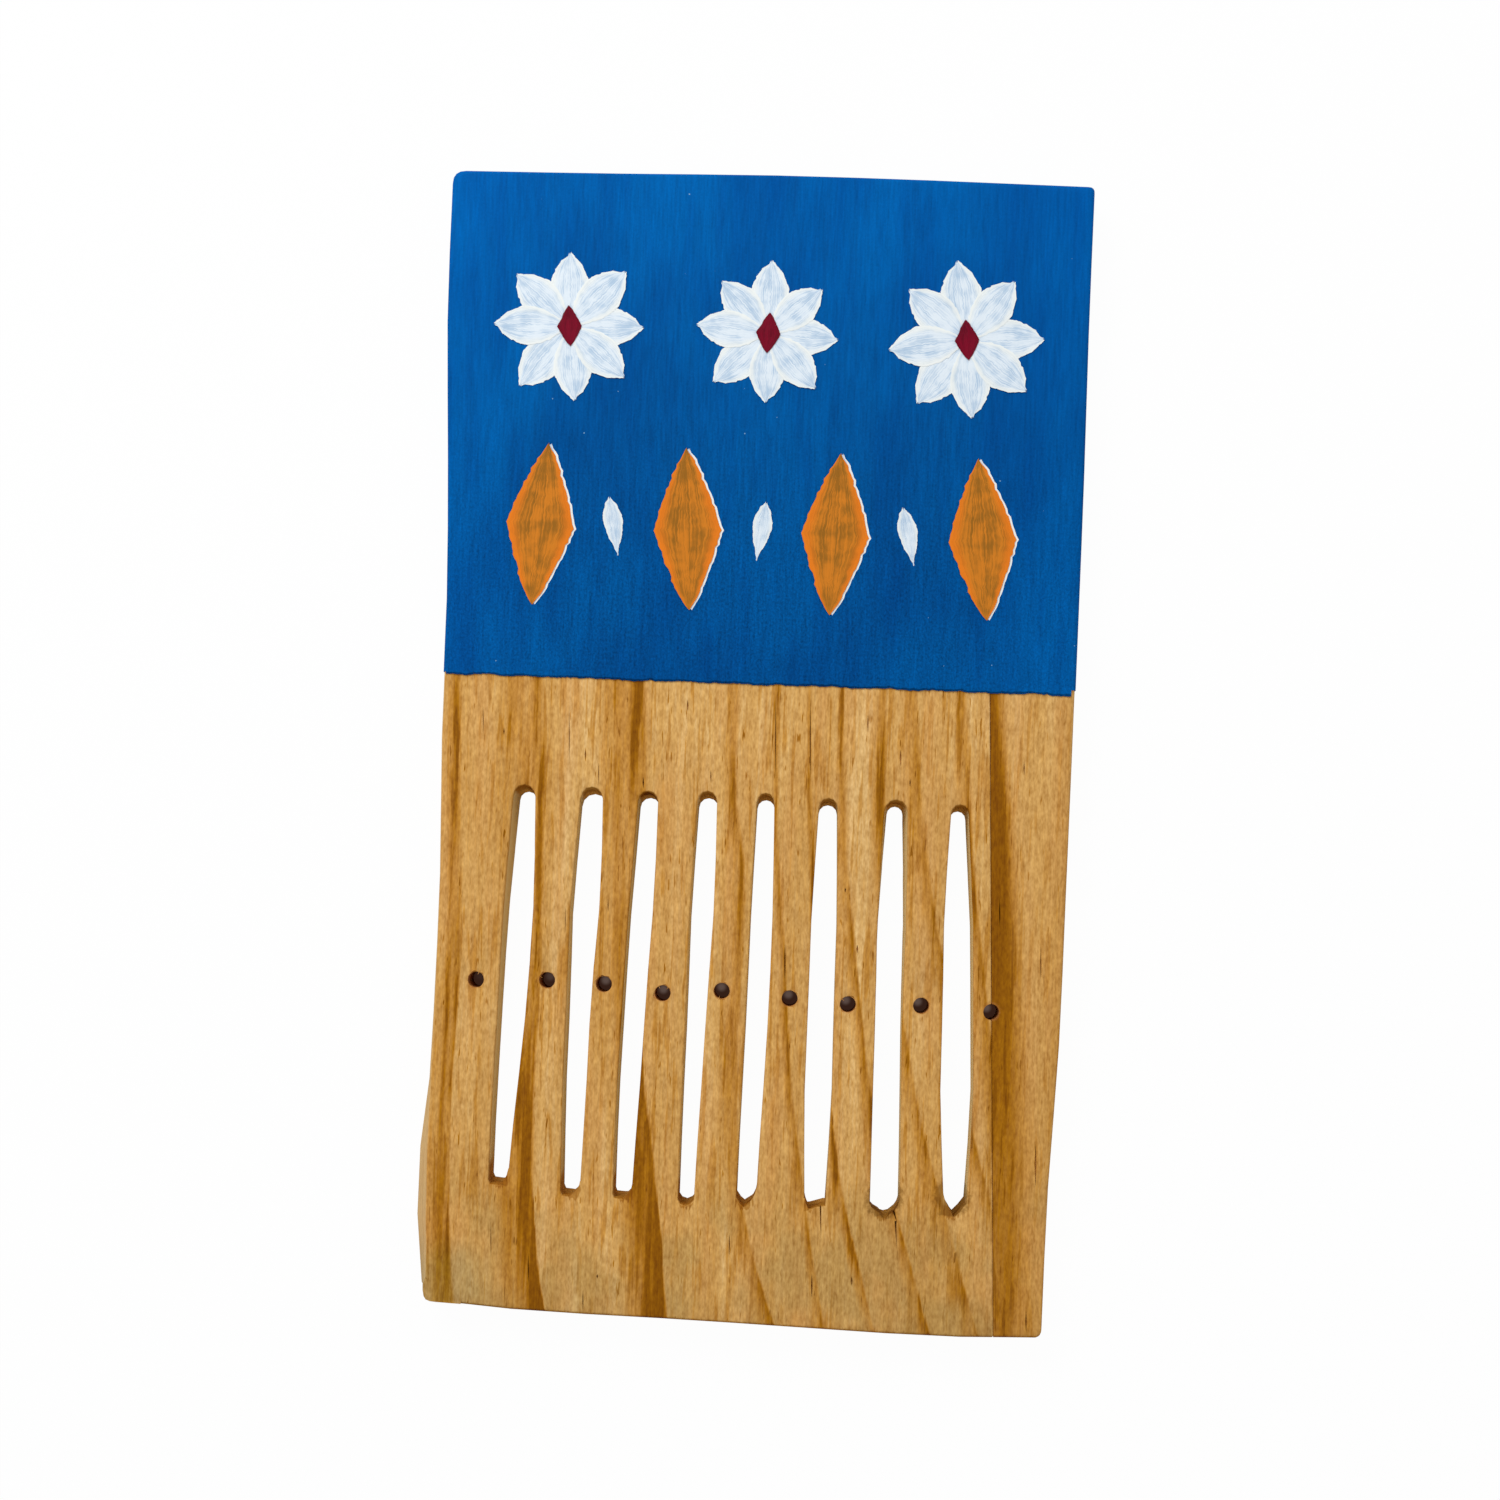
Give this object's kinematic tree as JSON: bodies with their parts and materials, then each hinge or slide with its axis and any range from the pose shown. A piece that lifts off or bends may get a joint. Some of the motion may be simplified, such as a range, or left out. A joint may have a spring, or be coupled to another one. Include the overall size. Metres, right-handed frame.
{
  "type": "band heddle",
  "caption": "Flat rigid heddle for weaving narrow bands: a softwood board with long slots and small drilled eyes for the warp, and a painted upper end.",
  "frame": {"origin": "middle of the back face's bounding box, on the surface that the board lies on", "axes": "+X across the board to the right as the painted front is seen, +Y up its length towards the painted end, +Z out of the painted front"},
  "size_m": [0.1009, 0.1804, 0.0069],
  "materials": {
    "board_wood": "flat-sawn softwood, tan with brown growth rings, hand-sanded, slightly shiny",
    "strip_wood": "flat-sawn softwood, brown at the glue line and tan at the outer edge",
    "blue_paint": "brushed blue paint, thin, streaked along the grain, satin",
    "white_paint": "brushed white paint, thick at the edges of the strokes",
    "red_paint": "dark red paint, glossy where it is thick",
    "orange_paint": "brushed orange paint, thick at the edges of the strokes"
  },
  "bodies": {
    "root": {"main_board": "board_wood", "side_strip": "strip_wood", "blue_coat": "blue_paint", "white_brushwork": "white_paint", "red_brushwork": "red_paint", "orange_brushwork": "orange_paint"}
  },
  "joints": []
}
